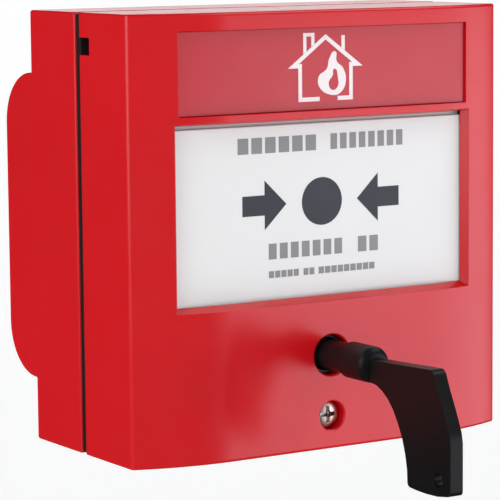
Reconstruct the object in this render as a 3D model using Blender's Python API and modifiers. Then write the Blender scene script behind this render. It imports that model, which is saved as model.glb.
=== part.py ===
"""Manual call point: a wall-mounted fire alarm call point with a resettable plate and a reset key.

The unit is a back box on the wall and a front unit that hooks over the box's top edge and is held by
one screw at the bottom. The front unit carries a white plate that slides inwards and down when it is
pressed, a microswitch behind it, a latch, and a cam that a key turns to set the plate free again.

Frame: +Z up, the front faces -Y, and the wall is the plane y = 0. The origin is the centre of the
flat rear face that lies against the wall. Lengths below are in millimetres. A depth is measured from
the front of the cover towards the wall, so a depth equal to DEPTH is the wall.
"""

import math

import bmesh
import bpy
from mathutils import Matrix, Vector

MM = 0.001
GAP = 0.3                     # clearance between neighbouring pieces

# The whole unit
WIDTH = 90.0
HEIGHT = 90.0
DEPTH = 56.0
HALF_W = WIDTH / 2
HALF_H = HEIGHT / 2

# Front cover: a shell with a crowned front
WALL = 2.4
CROWN_FLAT = 24.0             # half width of the flat middle of the front
CROWN_DROP = 4.3              # how far the front has fallen back at the side edges
COVER_REAR = 23.1             # depth of the cover's rear edge
FRONT_EDGE_ROUND = 1.3
WINDOW_HALF_W = 35.2
WINDOW_SILL_Z = -13.8
WINDOW_TOP_Z = 41.5
BAR_Z = (22.8, 24.5)          # the bar between the plate and the pictogram panel
RIM_REAR = 3.1                # depth of the rim's rear face, which the plate slides behind
PANEL_FLOOR = (3.9, 5.4)      # depths of the shelf that carries the panel
NOTCH_Z = (36.5, 40.0)        # pry notch in each side wall
NOTCH_DEPTH = 19.0

# Back box
BOX_FRONT = 25.1
PLINTH_FRONT = 44.3
PLINTH_HALF_H = 32.0
PLINTH_ROUND = 11.0
BOX_WALL = 2.5
FIXING_X = 30.0               # the two wall screws are 60 mm apart
FIXING_HALF_WIDTH = 2.35
FIXING_HALF_TRAVEL = 2.2
CABLE_Z = 13.0
CABLE_HOLE_R = 7.0

# Front unit's hinge: two hooks over the box's top edge
HINGE_DEPTH = 24.1
HINGE_Z = 44.0
HOOK_X = 25.0
HOOK_HALF_W = 5.0

# Plate and its carrier
PLATE_TRAVEL_IN = 2.0
PLATE_TRAVEL_DOWN = 3.5
PLATE_HALF_W = 36.0
PLATE_Z = (-14.9, 23.3)
PLATE_DEPTHS = (3.4, 5.4)
CARRIER_FRONT = 5.7
CARRIER_REAR = 7.7
CARRIER_RAIL_REAR = 10.8
CARRIER_HALF_W = 37.6
CARRIER_Z = (-14.0, 20.0)
GUIDE_PIN_R = 1.5
GUIDE_PIN_DEPTH = 9.0
GUIDE_PIN_Z = (15.0, -8.0)
SPRING_X = 28.0
SPRING_DEPTH = 10.0
SPRING_Z = (-24.1, -14.3)

# Chassis behind the plate
CHASSIS_DEPTHS = (13.0, 15.0)
CHASSIS_HALF_W = 39.6
CHASSIS_HALF_H = 37.5
CHEEK_INNER_X = 38.0
BOSS_X = 30.0
BOSS_Z = 33.0

# Key, cam and latch
KEY_Z = -25.5
KEYHOLE_R = 4.35
CAM_BARREL_R = 4.0
KEY_BARREL_R = 3.15
KEY_COLLAR_R = 3.7
KEY_BLADE_HALF = 1.5
LATCH_X = -16.0
LATCH_Z = -23.0
LATCH_DEPTHS = (10.0, 11.6)

# Cover screw
SCREW_Z = -38.1
SCREW_R = 1.5
SCREW_TIP = 28.9

# Circuit board, switch and terminals
BOARD_DEPTHS = (18.0, 19.6)
BOARD_SCREW_X = 27.0
SWITCH_HALF_W = 6.4
SWITCH_HALF_H = 2.9
SWITCH_DEPTHS = (12.2, 17.7)
LEVER_PIVOT_X = 5.4
LEVER_PIVOT_DEPTH = 9.85
BUTTON_X = -2.0
TERMINAL_X = (-12.0, -4.0, 4.0, 12.0)
TERMINAL_Z = 12.0

# Colours: base colour, metallic, roughness
RED = ((0.58, 0.016, 0.018), 0.0, 0.32)
PANEL_RED = ((0.50, 0.012, 0.016), 0.0, 0.12)
WHITE = ((0.80, 0.80, 0.80), 0.0, 0.35)
BLACK = ((0.012, 0.012, 0.013), 0.0, 0.45)
RUBBER = ((0.010, 0.010, 0.010), 0.0, 0.80)
NYLON = ((0.55, 0.54, 0.50), 0.0, 0.50)
STEEL = ((0.55, 0.55, 0.56), 1.0, 0.30)
BRASS = ((0.62, 0.44, 0.18), 1.0, 0.30)
BOARD_GREEN = ((0.02, 0.14, 0.06), 0.0, 0.35)
TERMINAL_GREEN = ((0.05, 0.30, 0.16), 0.0, 0.45)
STRIP_YELLOW = ((0.85, 0.62, 0.02), 0.0, 0.40)
RESISTOR = ((0.45, 0.36, 0.22), 0.0, 0.50)

# Directions in which a flat outline is extruded: rotations from the outline's own axes
ALONG_X = Matrix(((0, 0, 1), (1, 0, 0), (0, 1, 0))).to_4x4()    # outline in (depth, z)
ALONG_Y = Matrix.Rotation(math.radians(90), 4, "X")             # outline in (x, z)
ALONG_Z = Matrix.Identity(4)                                    # outline in (x, depth)


def at(x, depth, z):
    """World position, in metres, of a point given by x, depth and z in millimetres."""
    return Vector((x, depth - DEPTH, z)) * MM


def start_scene():
    """Empty the scene and make the collection of parts and the collection of cutters."""
    for obj in list(bpy.data.objects):
        bpy.data.objects.remove(obj, do_unlink=True)
    collections = []
    for name in ("manual_call_point", "cutters"):
        collection = bpy.data.collections.new(name)
        bpy.context.scene.collection.children.link(collection)
        collections.append(collection)
    return collections


PARTS, CUTTERS = start_scene()


def finish_part(obj, look, origin):
    """Name the part's material after it and put its origin on its own centre or joint axis."""
    colour, metallic, roughness = look
    material = bpy.data.materials.new(obj.name)
    material.use_nodes = True
    shader = material.node_tree.nodes["Principled BSDF"]
    shader.inputs["Base Color"].default_value = (*colour, 1.0)
    shader.inputs["Metallic"].default_value = metallic
    shader.inputs["Roughness"].default_value = roughness
    obj.data.materials.clear()
    obj.data.materials.append(material)
    to_origin = Matrix.Translation(origin)
    obj.data.transform(to_origin.inverted() @ obj.matrix_world)
    obj.matrix_world = to_origin
    obj.data.shade_smooth()
    obj.data.set_sharp_from_angle(angle=math.radians(35))
    return obj


def mesh_object(name, bm, collection):
    """A new object from a bmesh whose vertices are in world coordinates."""
    mesh = bpy.data.meshes.new(name)
    bm.to_mesh(mesh)
    bm.free()
    obj = bpy.data.objects.new(name, mesh)
    collection.objects.link(obj)
    return obj


def block(name, x, depth, z, collection=None):
    """A box between two x values, two depths and two heights."""
    low = at(x[0], depth[0], z[0])
    high = at(x[1], depth[1], z[1])
    size = high - low
    bm = bmesh.new()
    place = Matrix.Translation((low + high) / 2) @ Matrix.Diagonal((*size, 1.0))
    bmesh.ops.create_cube(bm, size=1.0, matrix=place)
    return mesh_object(name, bm, collection or CUTTERS)


def rod(name, centre, depth, radius, sides=24, collection=None):
    """A cylinder along Y at centre (x, z), between two depths."""
    middle = at(centre[0], sum(depth) / 2, centre[1])
    bm = bmesh.new()
    place = Matrix.Translation(middle) @ Matrix.Rotation(math.radians(90), 4, "X")
    bmesh.ops.create_cone(bm, cap_ends=True, segments=sides, radius1=radius * MM, radius2=radius * MM,
                          depth=(depth[1] - depth[0]) * MM, matrix=place)
    return mesh_object(name, bm, collection or CUTTERS)


def cross_rod(name, x, depth, z, radius, sides=16):
    """A cylinder along X between two x values."""
    middle = at(sum(x) / 2, depth, z)
    bm = bmesh.new()
    place = Matrix.Translation(middle) @ Matrix.Rotation(math.radians(90), 4, "Y")
    bmesh.ops.create_cone(bm, cap_ends=True, segments=sides, radius1=radius * MM, radius2=radius * MM,
                          depth=(x[1] - x[0]) * MM, matrix=place)
    return mesh_object(name, bm, CUTTERS)


def outline(name, points, direction, low, high, collection=None):
    """A flat outline, extruded along direction from low to high.

    Along X the points are (depth, z), along Y they are (x, z), and along Z they are (x, depth).
    """
    curve = bpy.data.curves.new(name, "CURVE")
    curve.dimensions = "2D"
    curve.fill_mode = "BOTH"
    curve.extrude = (high - low) / 2 * MM
    spline = curve.splines.new("POLY")
    spline.points.add(len(points) - 1)
    for point, (across, up) in zip(spline.points, points):
        point.co = (across * MM, up * MM, 0.0, 1.0)
    spline.use_cyclic_u = True
    flat = bpy.data.objects.new(name, curve)
    CUTTERS.objects.link(flat)
    middle = (low + high) / 2
    if direction is ALONG_X:
        place = Matrix.Translation(at(middle, 0, 0)) @ ALONG_X
    elif direction is ALONG_Y:
        place = Matrix.Translation(at(0, middle, 0)) @ ALONG_Y
    else:
        place = Matrix.Translation(at(0, 0, middle))
    mesh = bpy.data.meshes.new_from_object(flat.evaluated_get(bpy.context.evaluated_depsgraph_get()))
    mesh.transform(place)
    bpy.data.objects.remove(flat, do_unlink=True)
    bm = bmesh.new()
    bm.from_mesh(mesh)
    bmesh.ops.remove_doubles(bm, verts=bm.verts, dist=1e-6)
    bmesh.ops.recalc_face_normals(bm, faces=bm.faces)
    bpy.data.meshes.remove(mesh)
    return mesh_object(name, bm, collection or CUTTERS)


def turned(name, profile, x, z, sides=32, collection=None):
    """A turned piece about an axis along Y at (x, z); the profile is (radius, depth), front first."""
    mesh = bpy.data.meshes.new(name)
    verts = [(radius * MM, 0.0, -depth * MM) for radius, depth in profile]
    mesh.from_pydata(verts, [(i, i + 1) for i in range(len(verts) - 1)], [])
    obj = bpy.data.objects.new(name, mesh)
    (collection or CUTTERS).objects.link(obj)
    screw = obj.modifiers.new("turn", "SCREW")
    screw.axis = "Z"
    screw.angle = 2 * math.pi
    screw.steps = sides
    screw.render_steps = sides
    screw.use_merge_vertices = True
    screw.merge_threshold = 1e-6
    obj.matrix_world = Matrix.Translation(at(x, 0, z)) @ Matrix.Rotation(math.radians(90), 4, "X")
    bpy.context.view_layer.update()
    baked = bpy.data.meshes.new_from_object(obj.evaluated_get(bpy.context.evaluated_depsgraph_get()))
    baked.name = name
    obj.modifiers.clear()
    obj.data = baked
    return obj


def combine(obj, tool, operation):
    """Join a piece to the object, or cut it away, and keep the tool as a hidden cutter."""
    tool.hide_render = True
    tool.display_type = "WIRE"
    modifier = obj.modifiers.new(tool.name, "BOOLEAN")
    modifier.operation = operation
    modifier.solver = "EXACT"
    modifier.object = tool


def cut(obj, *tools):
    for tool in tools:
        combine(obj, tool, "DIFFERENCE")


def join(obj, *tools):
    for tool in tools:
        combine(obj, tool, "UNION")


def arc(centre, radius, start_deg, end_deg, steps):
    """Points on an arc, both ends included."""
    points = []
    for step in range(steps + 1):
        angle = math.radians(start_deg + (end_deg - start_deg) * step / steps)
        points.append((centre[0] + radius * math.cos(angle), centre[1] + radius * math.sin(angle)))
    return points


def capsule(start, end, radius, steps=8):
    """Outline of a slot with round ends, from one centre to the other."""
    heading = math.degrees(math.atan2(end[1] - start[1], end[0] - start[0]))
    return (arc(end, radius, heading - 90, heading + 90, steps)
            + arc(start, radius, heading + 90, heading + 270, steps))


def crown(x):
    """Depth of the cover's front surface at x: flat in the middle, falling back at both sides."""
    past_flat = max(0.0, abs(x) - CROWN_FLAT)
    return CROWN_DROP * (past_flat / (HALF_W - CROWN_FLAT)) ** 2


def crown_outline(half_width, offset, rear):
    """Outline in (x, depth) of a body with the crowned front, offset inwards, back to a flat rear."""
    steps = 7
    side = [CROWN_FLAT + (half_width - CROWN_FLAT) * step / steps for step in range(steps + 1)]
    across = [-x for x in reversed(side)] + side
    front = [(x, crown(x) + offset) for x in across]
    return front + [(half_width, rear), (-half_width, rear)]


def box_outline(inset):
    """Side outline in (depth, z) of the back box, moved inwards by inset."""
    half_h = HALF_H - inset
    plinth_half = PLINTH_HALF_H - inset
    rear = DEPTH - inset
    radius = PLINTH_ROUND - inset
    step_depth = PLINTH_FRONT - inset
    front = BOX_FRONT if inset == 0 else BOX_FRONT - 5
    upper = [(front, half_h), (step_depth, half_h), (step_depth, plinth_half)]
    upper += arc((rear - radius, plinth_half - radius), radius, 90, 0, 6)
    return upper + [(depth, -z) for depth, z in reversed(upper)]


# ---------------------------------------------------------------- back box and what stays on the wall

def make_back_box():
    box = outline("back_box", box_outline(0), ALONG_X, -HALF_W, HALF_W, PARTS)
    inner = HALF_W - BOX_WALL
    cut(box, outline("box_inside", box_outline(BOX_WALL), ALONG_X, -inner, inner))
    join(box, rod("screw_boss", (0, SCREW_Z), (25.5, 43), 5.0))
    cut(box, rod("insert_pocket", (0, SCREW_Z), (20, 30.5), 3.5),
        rod("screw_relief", (0, SCREW_Z), (25, 33), 2.2))
    for side in (-1, 1):
        slot = capsule((side * FIXING_X - FIXING_HALF_TRAVEL, 0), (side * FIXING_X + FIXING_HALF_TRAVEL, 0),
                       FIXING_HALF_WIDTH)
        cut(box, outline("fixing_slot", slot, ALONG_Y, 50, 60))
        hook = (side * HOOK_X - HOOK_HALF_W - 0.5, side * HOOK_X + HOOK_HALF_W + 0.5)
        cut(box, block("hook_pocket", hook, (25.9, 29), (42, 44)))
    cut(box, rod("cable_hole", (0, CABLE_Z), (50, 60), CABLE_HOLE_R))
    return finish_part(box, RED, at(0, DEPTH, 0))


def make_box_seal():
    seal = block("box_seal", (-44, 44), (COVER_REAR + GAP, BOX_FRONT - GAP), (-44, 44), PARTS)
    cut(seal, block("seal_inside", (-42.75, 42.75), (20, 28), (-42.75, 42.75)))
    return finish_part(seal, RUBBER, at(0, HINGE_DEPTH, 0))


def make_cable_grommet():
    bore = 4.5
    profile = [(bore, 51.9), (9.0, 51.9), (9.0, 53.2), (6.7, 53.2), (6.7, 55.8), (bore, 55.8), (bore, 51.9)]
    grommet = turned("cable_grommet", profile, 0, CABLE_Z, collection=PARTS)
    return finish_part(grommet, RUBBER, at(0, DEPTH, CABLE_Z))


def make_screw_insert():
    bore = SCREW_R + 0.35
    profile = [(bore, 25.6), (3.2, 25.6), (3.2, 30.2), (bore, 30.2), (bore, 25.6)]
    insert = turned("screw_insert", profile, 0, SCREW_Z, 24, PARTS)
    return finish_part(insert, BRASS, at(0, 25.6, SCREW_Z))


# ---------------------------------------------------------------- front cover

def round_front_edges(obj):
    """Round the front edges: the two upright ones and those along the top and the bottom."""
    bm = bmesh.new()
    bm.from_mesh(obj.data)
    limit = 1e-5
    edges = []
    for edge in bm.edges:
        x, y, z = zip(*(vert.co for vert in edge.verts))
        in_front = max(y) < at(0, CROWN_DROP, 0).y + limit
        on_side = min(abs(value) for value in x) > HALF_W * MM - limit
        on_end = min(z) > HALF_H * MM - limit or max(z) < -HALF_H * MM + limit
        if in_front and (on_side or on_end):
            edges.append(edge)
    bmesh.ops.bevel(bm, geom=edges, offset=FRONT_EDGE_ROUND * MM, segments=3, profile=0.5, affect="EDGES")
    bm.to_mesh(obj.data)
    bm.free()


def make_front_cover():
    cover = outline("front_cover", crown_outline(HALF_W, 0, COVER_REAR), ALONG_Z, -HALF_H, HALF_H, PARTS)
    bmesh_limit_dissolve(cover)
    round_front_edges(cover)
    inner = HALF_W - WALL
    cut(cover, outline("cover_inside", crown_outline(inner, WALL, 30), ALONG_Z, -inner, inner))
    join(cover, block("panel_shelf", (-38, 38), (2.0, PANEL_FLOOR[1]), (23.0, 43.0)),
         rod("keyhole_boss", (0, KEY_Z), (1, 8), 7.0),
         rod("screw_tube", (0, SCREW_Z), (1, COVER_REAR - 0.1), 4.7))
    for side in (-1, 1):
        join(cover, rod("boss_top", (side * BOSS_X, BOSS_Z), (4.5, 12.7), 3.6, 16),
             rod("boss_low", (side * BOSS_X, -BOSS_Z), (1.6, 12.7), 3.6, 16))
        hook = (side * HOOK_X - HOOK_HALF_W, side * HOOK_X + HOOK_HALF_W)
        join(cover, block("hook_root", hook, (15, 22), (40.4, 43)),
             block("hook_bar", hook, (15.5, 28), (40.4, 42.2)),
             block("hook_lip", hook, (26.6, 28), (41, 43.4)))
    window = (-WINDOW_HALF_W, WINDOW_HALF_W)
    plate_room = (-PLATE_HALF_W - 0.4, PLATE_HALF_W + 0.4)
    cut(cover, block("plate_window", window, (-5, 12), (WINDOW_SILL_Z, BAR_Z[0])),
        block("panel_pocket", window, (-5, PANEL_FLOOR[0]), (BAR_Z[1], WINDOW_TOP_Z)),
        block("plate_room", plate_room, (RIM_REAR, 12), (PLATE_Z[0] - PLATE_TRAVEL_DOWN - 0.4, 23.7)),
        rod("keyhole", (0, KEY_Z), (-5, 12), KEYHOLE_R, 32),
        rod("screw_recess", (0, SCREW_Z), (-5, 4), 3.1),
        rod("screw_passage", (0, SCREW_Z), (-5, 30), SCREW_R + 0.35))
    for side in (-1, 1):
        for height in (-BOSS_Z, BOSS_Z):
            cut(cover, rod("boss_bore", (side * BOSS_X, height), (7, 14), 1.55, 16))
        wall = sorted((side * (HALF_W - WALL - 1), side * (HALF_W + 1)))
        cut(cover, block("pry_notch", wall, (NOTCH_DEPTH, 25), NOTCH_Z))
    return finish_part(cover, RED, at(0, HINGE_DEPTH, HINGE_Z))


def bmesh_limit_dissolve(obj):
    """Turn the triangles of each flat end into one face, so that the edge rounding runs cleanly."""
    bm = bmesh.new()
    bm.from_mesh(obj.data)
    bmesh.ops.dissolve_limit(bm, angle_limit=math.radians(0.5), verts=bm.verts, edges=bm.edges)
    bm.to_mesh(obj.data)
    bm.free()


def make_pictogram_panel():
    panel = block("pictogram_panel", (-34.9, 34.9), (1.8, 3.6), (24.9, 41.2), PARTS)
    return finish_part(panel, PANEL_RED, at(0, 3.6, 33))


def make_cover_screw():
    profile = [(0, 1.6), (2.5, 1.6), (2.8, 1.9), (2.8, 3.7), (SCREW_R, 3.7), (SCREW_R, SCREW_TIP - 0.6),
               (SCREW_R - 0.6, SCREW_TIP), (0, SCREW_TIP)]
    screw = turned("cover_screw", profile, 0, SCREW_Z, 24, PARTS)
    cut(screw, block("driver_slot", (-4, 4), (0, 2.7), (SCREW_Z - 0.4, SCREW_Z + 0.4)))
    return finish_part(screw, STEEL, at(0, 1.6, SCREW_Z))


# ---------------------------------------------------------------- plate

def make_operating_plate():
    plate = block("operating_plate", (-PLATE_HALF_W, PLATE_HALF_W), PLATE_DEPTHS, PLATE_Z, PARTS)
    return finish_part(plate, WHITE, at(0, PLATE_DEPTHS[1], 0))


def make_plate_carrier():
    """Frame behind the plate, with two guide rails, four guide pins, a switch rib and a latch catch."""
    half = CARRIER_HALF_W
    carrier = block("plate_carrier", (-half, half), (CARRIER_FRONT, CARRIER_REAR), CARRIER_Z, PARTS)
    cut(carrier, block("upper_opening", (-33, 33), (5, 9), (7.5, 17)),
        block("lower_opening", (-33, 33), (5, 9), (-11, -4)),
        block("room_for_switch_ears", (LEVER_PIVOT_X - 2.0, LEVER_PIVOT_X + 1.6), (5, 9), (-5, 8)))
    for side in (-1, 1):
        rail = sorted((side * 36.2, side * half))
        join(carrier, block("rail", rail, (CARRIER_REAR - 1, CARRIER_RAIL_REAR), CARRIER_Z))
        for height in GUIDE_PIN_Z:
            pin = sorted((side * 36.6, side * 40.4))
            join(carrier, cross_rod("guide_pin", pin, GUIDE_PIN_DEPTH, height, GUIDE_PIN_R))
        ledge = sorted((side * (SPRING_X - 4), side * (SPRING_X + 4)))
        join(carrier, block("spring_ledge", ledge, (CARRIER_REAR - 1, CARRIER_RAIL_REAR), (-14, -12.4)))
    catch = [(-13.34, -13.6), (-10.5, -13.6), (-10.5, -11.0), (-11.86, -11.0)]
    join(carrier, block("switch_rib", (-8.6, -7.4), (CARRIER_REAR - 1, 9.4), (-3, 6.5)),
         outline("catch", catch, ALONG_Y, CARRIER_REAR - 1, CARRIER_RAIL_REAR))
    return finish_part(carrier, BLACK, at(0, CARRIER_FRONT, 0))


def make_alarm_strip():
    """Striped strip that shows above the plate once the plate has dropped."""
    slope = PLATE_TRAVEL_IN / PLATE_TRAVEL_DOWN
    thick = 0.8
    low_z, bend_z, top_z = 20.2, 23.9, 28.0
    low_depth = 5.75 + (bend_z - low_z) * slope
    section = [(5.75, top_z), (5.75, bend_z), (low_depth, low_z), (low_depth + thick, low_z),
               (5.75 + thick, bend_z), (5.75 + thick, top_z)]
    strip = outline("alarm_strip", section, ALONG_X, -33, 33, PARTS)
    return finish_part(strip, STRIP_YELLOW, at(0, 5.75, 24))


# ---------------------------------------------------------------- chassis and its electrics

def make_mechanism_chassis():
    half_w = CHASSIS_HALF_W
    half_h = CHASSIS_HALF_H
    chassis = block("mechanism_chassis", (-half_w, half_w), CHASSIS_DEPTHS, (-half_h, half_h), PARTS)
    for side in (-1, 1):
        cheek = sorted((side * CHEEK_INNER_X, side * half_w))
        join(chassis, block("cheek", cheek, (5.4, 14), (-15, 19)))
        for height in GUIDE_PIN_Z:
            slot = capsule((GUIDE_PIN_DEPTH, height),
                           (GUIDE_PIN_DEPTH + PLATE_TRAVEL_IN, height - PLATE_TRAVEL_DOWN), GUIDE_PIN_R + 0.35)
            low, high = sorted((side * 37, side * 41))
            cut(chassis, outline("guide_slot", slot, ALONG_X, low, high))
        seat = sorted((side * (SPRING_X - 4), side * (SPRING_X + 4)))
        join(chassis, block("spring_seat", seat, (7.5, 14), (-26, SPRING_Z[0] - GAP)),
             rod("board_post", (side * BOARD_SCREW_X, 0), (14, BOARD_DEPTHS[0] - GAP), 3.2, 16))
        cut(chassis, rod("post_bore", (side * BOARD_SCREW_X, 0), (12, 20), 1.35, 12))
        for height in (-BOSS_Z, BOSS_Z):
            cut(chassis, rod("screw_hole", (side * BOSS_X, height), (12, 16), 1.55, 16))
    cut(chassis, block("switch_opening", (-SWITCH_HALF_W - 0.6, SWITCH_HALF_W + 0.6), (12, 16),
                       (-SWITCH_HALF_H - 0.6, SWITCH_HALF_H + 0.6)),
        block("screw_tube_room", (-5.3, 5.3), (12, 16), (-40, SCREW_Z + 5.2)),
        rod("cam_bearing", (0, KEY_Z), (12, 16), 3.35, 24),
        rod("latch_pin_hole", (LATCH_X, LATCH_Z), (12, 16), 1.8, 16))
    return finish_part(chassis, BLACK, at(0, CHASSIS_DEPTHS[0], 0))


def make_circuit_board():
    board = block("circuit_board", (-33, 33), BOARD_DEPTHS, (-28, 30), PARTS)
    for side in (-1, 1):
        cut(board, rod("board_hole", (side * BOARD_SCREW_X, 0), (17, 21), 1.35, 12))
    return finish_part(board, BOARD_GREEN, at(0, BOARD_DEPTHS[0], 0))


def make_microswitch_body():
    """Small switch with a button well and two ears that hold the lever."""
    half_h = SWITCH_HALF_H
    body = block("microswitch_body", (-SWITCH_HALF_W, SWITCH_HALF_W), SWITCH_DEPTHS, (-half_h, half_h), PARTS)
    for low, high in ((-half_h, -half_h + 0.9), (half_h - 0.9, half_h)):
        join(body, block("ear", (LEVER_PIVOT_X - 1.4, SWITCH_HALF_W), (8.6, 13), (low, high)))
    pivot_hole = block("pivot_hole", (LEVER_PIVOT_X - 0.85, LEVER_PIVOT_X + 0.65),
                       (LEVER_PIVOT_DEPTH - 0.8, LEVER_PIVOT_DEPTH + 0.8), (-4, 4))
    button_well = block("button_well", (BUTTON_X - 1.3, BUTTON_X + 1.3), (10, 15.5), (-1.6, 1.6))
    cut(body, pivot_hole, button_well)
    return finish_part(body, BLACK, at(0, SWITCH_DEPTHS[1], 0))


def make_switch_lever():
    """Leaf with a barrel that turns between the switch's ears."""
    lever = block("switch_lever", (-9.4, LEVER_PIVOT_X), (9.7, 10.0), (-1.5, 1.5), PARTS)
    bm = bmesh.new()
    place = Matrix.Translation(at(LEVER_PIVOT_X, LEVER_PIVOT_DEPTH, 0))
    bmesh.ops.create_cone(bm, cap_ends=True, segments=12, radius1=0.45 * MM, radius2=0.45 * MM,
                          depth=2 * SWITCH_HALF_H * MM, matrix=place)
    join(lever, mesh_object("lever_barrel", bm, CUTTERS))
    return finish_part(lever, STEEL, at(LEVER_PIVOT_X, LEVER_PIVOT_DEPTH, 0))


def make_switch_button():
    button = block("switch_button", (BUTTON_X - 1, BUTTON_X + 1), (10.3, 14.0), (-1.3, 1.3), PARTS)
    return finish_part(button, WHITE, at(BUTTON_X, 14.0, 0))


def make_terminal_block():
    z_low, z_high = TERMINAL_Z - 6, TERMINAL_Z + 6
    body = block("terminal_block", (-16, 16), (BOARD_DEPTHS[1] + GAP, 30), (z_low, z_high), PARTS)
    for x in TERMINAL_X:
        cut(body, rod("screw_well", (x, TERMINAL_Z), (25.3, 32), 2.4, 16),
            rod("thread_bore", (x, TERMINAL_Z), (21.5, 26), 1.5, 12),
            block("wire_entry", (x - 1.6, x + 1.6), (21.2, 24.4), (z_low - 1, TERMINAL_Z)))
    return finish_part(body, TERMINAL_GREEN, at(0, BOARD_DEPTHS[1], TERMINAL_Z))


def make_screw(name, x, z, head, shank, look=STEEL):
    """Slotted screw with its head towards the wall; head is (radius, front, rear), shank (radius, tip)."""
    profile = [(0, shank[1]), (shank[0] * 0.6, shank[1]), (shank[0], shank[1] + 0.5), (shank[0], head[1]),
               (head[0], head[1]), (head[0], head[2]), (0, head[2])]
    screw = turned(name, profile, x, z, 16, PARTS)
    slot = (x - head[0] - 1, x + head[0] + 1)
    cut(screw, block("slot", slot, (head[2] - 0.7, head[2] + 1), (z - 0.35, z + 0.35)))
    return finish_part(screw, look, at(x, head[1], z))


def make_board_resistor(name, z):
    """Film resistor lying along X behind the board, with its two legs."""
    depth = 21.6
    body = cross_rod(name, (-6, 6), depth, z, 0.35, 8)
    CUTTERS.objects.unlink(body)
    PARTS.objects.link(body)
    join(body, cross_rod("resistor_body", (-3.4, 3.4), depth, z, 1.2, 12))
    for x in (-5.8, 5.8):
        join(body, rod("leg", (x, z), (BOARD_DEPTHS[1] + GAP, depth), 0.3, 8))
    return finish_part(body, RESISTOR, at(0, depth, z))


def make_spring(name, centre, height, radius, turns, wire, axis_along_z=True):
    """Compression spring as a round wire on a helix."""
    curve = bpy.data.curves.new(name, "CURVE")
    curve.dimensions = "3D"
    curve.bevel_depth = wire * MM
    curve.bevel_resolution = 1
    curve.use_fill_caps = True
    spline = curve.splines.new("POLY")
    per_turn = 12
    count = int(turns * per_turn) + 1
    spline.points.add(count - 1)
    low, high = height
    for index, point in enumerate(spline.points):
        angle = 2 * math.pi * index / per_turn
        along = low + wire + (high - low - 2 * wire) * index / (count - 1)
        across = radius * math.cos(angle)
        other = radius * math.sin(angle)
        if axis_along_z:
            place = at(centre[0] + across, centre[1] + other, along)
        else:
            place = at(centre[0] + across, along, centre[1] + other)
        point.co = (*place, 1.0)
    coil = bpy.data.objects.new(name, curve)
    CUTTERS.objects.link(coil)
    mesh = bpy.data.meshes.new_from_object(coil.evaluated_get(bpy.context.evaluated_depsgraph_get()))
    bpy.data.objects.remove(coil, do_unlink=True)
    bm = bmesh.new()
    bm.from_mesh(mesh)
    bmesh.ops.remove_doubles(bm, verts=bm.verts, dist=1e-7)
    bmesh.ops.recalc_face_normals(bm, faces=bm.faces)
    bpy.data.meshes.remove(mesh)
    obj = mesh_object(name, bm, PARTS)
    origin = at(centre[0], centre[1], low) if axis_along_z else at(centre[0], low, centre[1])
    return finish_part(obj, STEEL, origin)


# ---------------------------------------------------------------- latch, cam and key

def make_latch():
    """Hook that swings over the carrier's catch, with a tail that the cam reaches."""
    hook = [(-17.4, -22.0), (-17.4, -12.2), (-13.16, -12.2), (-14.3, -14.2), (-15.1, -14.2), (-15.1, -22.0)]
    tail = [(-15.5, -23.6), (-6.2, -20.6), (-6.2, -18.8), (-15.5, -21.0)]
    latch = rod("latch", (LATCH_X, LATCH_Z), LATCH_DEPTHS, 3.2, 24, PARTS)
    join(latch, outline("hook", hook, ALONG_Y, *LATCH_DEPTHS), outline("tail", tail, ALONG_Y, *LATCH_DEPTHS))
    cut(latch, rod("latch_eye", (LATCH_X, LATCH_Z), (8, 13), 1.85, 16))
    return finish_part(latch, STEEL, at(LATCH_X, LATCH_DEPTHS[0], LATCH_Z))


def make_latch_pin():
    profile = [(0, 7.3), (2.6, 7.3), (2.6, 7.9), (1.5, 7.9), (1.5, 15.6), (0, 15.6)]
    pin = turned("latch_pin", profile, LATCH_X, LATCH_Z, 20, PARTS)
    return finish_part(pin, STEEL, at(LATCH_X, 7.9, LATCH_Z))


def make_reset_cam():
    """Barrel in the keyhole, a flange, a lobe, and a journal that runs in the chassis."""
    profile = [(0, 2.2), (CAM_BARREL_R, 2.2), (CAM_BARREL_R, 8.3), (6.5, 8.3), (6.5, 9.3), (4.0, 9.3),
               (4.0, 12.3), (3.0, 12.3), (3.0, 15.2), (2.4, 15.2), (2.4, 16.4), (3.0, 16.4), (3.0, 17.2),
               (0, 17.2)]
    cam = turned("reset_cam", profile, 0, KEY_Z, 32, PARTS)
    lobe = [(-2.3, KEY_Z), (2.3, KEY_Z), (1.4, KEY_Z - 7.2), (-1.4, KEY_Z - 7.2)]
    join(cam, outline("lobe", lobe, ALONG_Y, 9.6, 12.0))
    cut(cam, rod("socket", (0, KEY_Z), (0, 6.2), 3.5, 32),
        block("square_socket", (-2.2, 2.2), (0, 9.7), (KEY_Z - 2.2, KEY_Z + 2.2)))
    return finish_part(cam, BLACK, at(0, 2.2, KEY_Z))


def make_cam_retaining_ring():
    profile = [(2.7, 15.4), (4.6, 15.4), (4.6, 16.2), (2.7, 16.2), (2.7, 15.4)]
    ring = turned("cam_retaining_ring", profile, 0, KEY_Z, 24, PARTS)
    cut(ring, block("ring_gap", (-1.2, 1.2), (15, 17), (KEY_Z, KEY_Z + 6)))
    return finish_part(ring, STEEL, at(0, 15.4, KEY_Z))


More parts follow.
